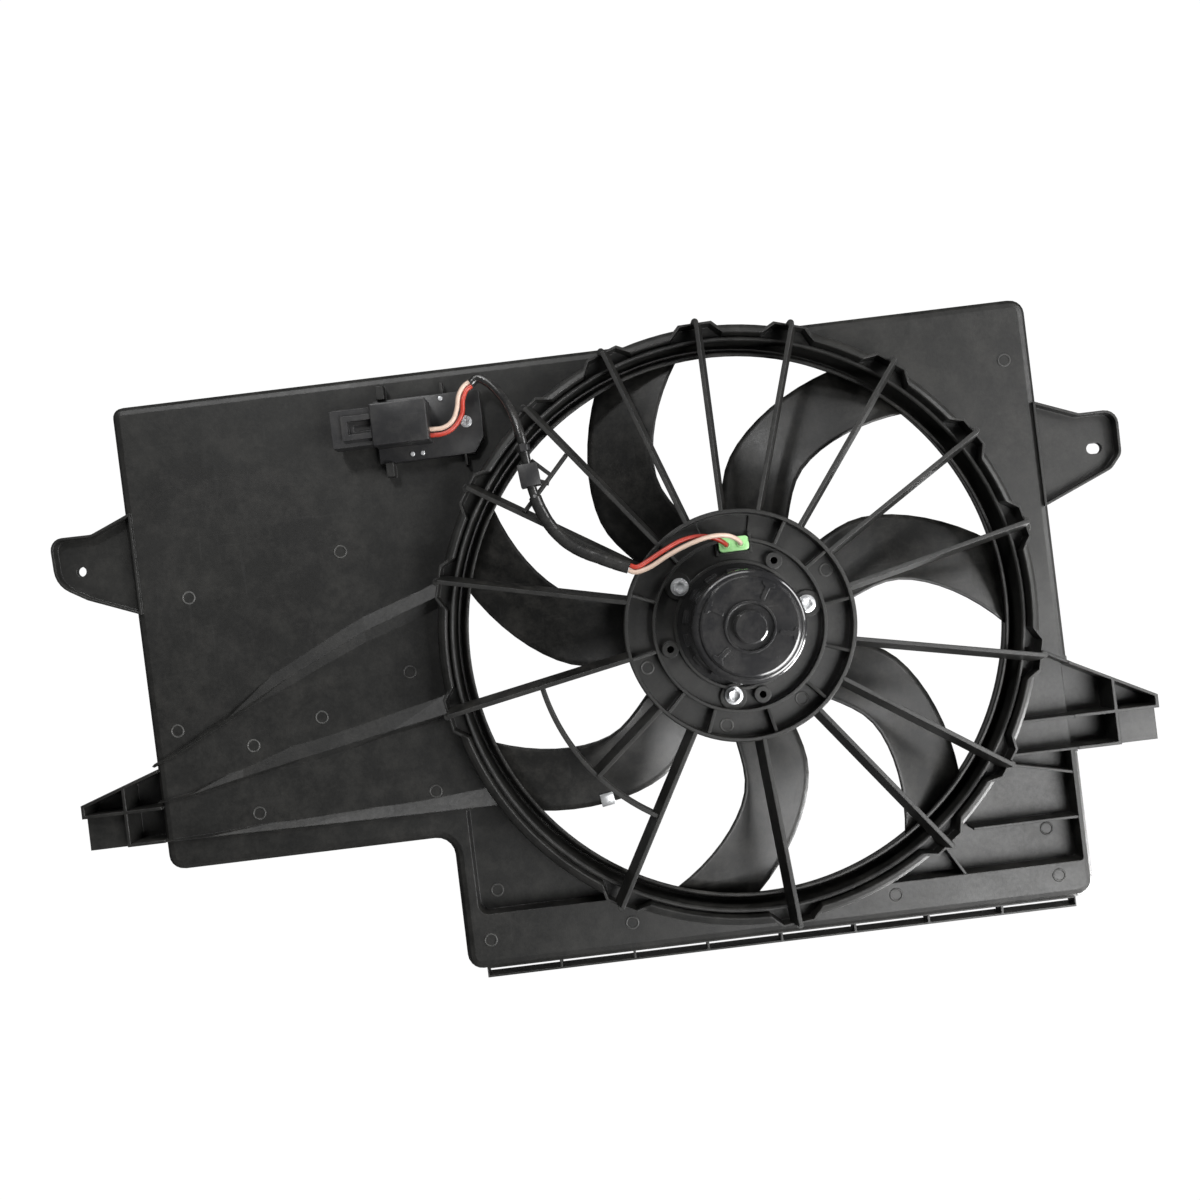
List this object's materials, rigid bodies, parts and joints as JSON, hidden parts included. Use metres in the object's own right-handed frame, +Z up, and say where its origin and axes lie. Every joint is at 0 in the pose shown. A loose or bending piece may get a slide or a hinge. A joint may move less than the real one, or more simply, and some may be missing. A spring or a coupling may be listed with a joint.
{
  "type": "radiator cooling fan",
  "caption": "Engine cooling fan: moulded shroud with mounting tabs and feet, swept vanes, brushed motor and a banded fan that spins, with its loom and connector.",
  "frame": {"origin": "on the fan's axis, in the plane where the shroud's rim meets the radiator", "axes": "+X to the right seen from the motor side, +Y along the fan's axis towards the radiator, +Z up"},
  "size_m": [0.7065, 0.117, 0.4061],
  "materials": {
    "shroud_plastic": "satin, fine moulded texture",
    "fan_plastic": "satin, fine moulded texture",
    "motor_steel": "satin black coating",
    "plated_steel": "plated",
    "zinc_fasteners": "bright zinc",
    "ferrite": "dull, sintered",
    "sintered_bronze": "oiled",
    "card_plastic": "moulded",
    "carbon": "dull",
    "spring_steel": "bright",
    "green_plastic": "moulded",
    "module_plastic": "moulded",
    "contact_brass": "plated",
    "red_insulation": "extruded",
    "cream_insulation": "extruded",
    "loom_tape": "cloth tape",
    "insert_aluminium": "as cast",
    "lamination_steel": "stacked sheets",
    "copper": "enamelled"
  },
  "bodies": {
    "housing": {"shroud_panel": "shroud_plastic", "shroud_ring": "shroud_plastic", "stator_struts": "shroud_plastic", "stator_brace": "shroud_plastic", "motor_carrier": "shroud_plastic", "harness_bracket": "shroud_plastic", "motor_can": "motor_steel", "motor_end_shield": "motor_steel", "motor_bolts": "zinc_fasteners", "magnets": "ferrite", "front_bearing": "sintered_bronze", "rear_bearing": "sintered_bronze", "brush_card": "card_plastic", "brushes": "carbon", "brush_springs": "spring_steel", "motor_plug": "green_plastic", "module_base": "module_plastic", "module_screw": "zinc_fasteners", "module_rivets": "zinc_fasteners", "connector_body": "module_plastic", "inlet_socket": "module_plastic", "socket_pins": "contact_brass", "wire_red": "red_insulation", "wire_cream": "cream_insulation", "loom_sleeve": "loom_tape", "loom_clip": "module_plastic", "cable_tie": "module_plastic"},
    "rotor": {"fan_hub": "fan_plastic", "fan_blades": "fan_plastic", "fan_band": "fan_plastic", "hub_insert": "insert_aluminium", "hub_clip": "spring_steel", "balance_clip": "spring_steel", "motor_shaft": "plated_steel", "armature_core": "lamination_steel", "armature_windings": "copper", "commutator": "copper"}
  },
  "joints": [
    {"name": "fan_spin", "type": "hinge", "parent": "housing", "child": "rotor", "pos_m": [0, 0, 0], "axis": [0, -1, 0], "continuous": true}
  ]
}
